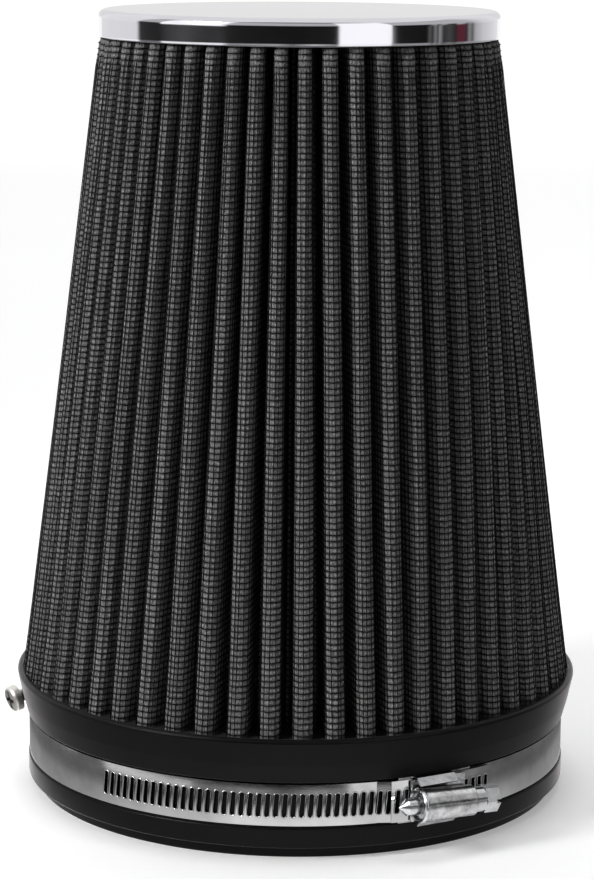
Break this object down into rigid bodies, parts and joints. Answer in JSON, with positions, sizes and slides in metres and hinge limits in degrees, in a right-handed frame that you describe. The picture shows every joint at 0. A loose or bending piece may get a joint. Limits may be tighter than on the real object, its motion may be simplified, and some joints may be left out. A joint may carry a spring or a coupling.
{
  "type": "cone air filter",
  "caption": "Cone-shaped pleated air filter with wire screens, a bright end cap and a rubber flange that a worm-drive clamp holds on the intake pipe.",
  "frame": {"origin": "on the filter's axis, in the plane of the neck's lower face", "axes": "+Z along the axis from the neck to the cap; -Y towards the pictured front, with the clamp's housing between -Y and +X"},
  "size_m": [0.1947, 0.1904, 0.262],
  "materials": {
    "rubber": "satin",
    "wire": "satin",
    "cloth": "matt",
    "cap_metal": "polished",
    "sealant": "matt",
    "band_steel": "brushed",
    "housing_steel": "satin",
    "screw_steel": "bright zinc",
    "nickel": "bright"
  },
  "bodies": {
    "filter": {"flange": "rubber", "outer_screen": "wire", "filter_media": "cloth", "inner_screen": "wire", "cap": "cap_metal", "cap_potting": "sealant", "clamp_band": "band_steel", "clamp_saddle": "band_steel", "clamp_housing": "housing_steel", "side_screw": "nickel"},
    "worm": {"clamp_screw": "screw_steel"}
  },
  "joints": [
    {"name": "clamp_screw_turn", "type": "hinge", "parent": "filter", "child": "worm", "pos_m": [0.0473, -0.08497, 0.0172], "axis": [0.8726, 0.4857, -0.0523], "range_deg": [-1080, 2160]}
  ]
}
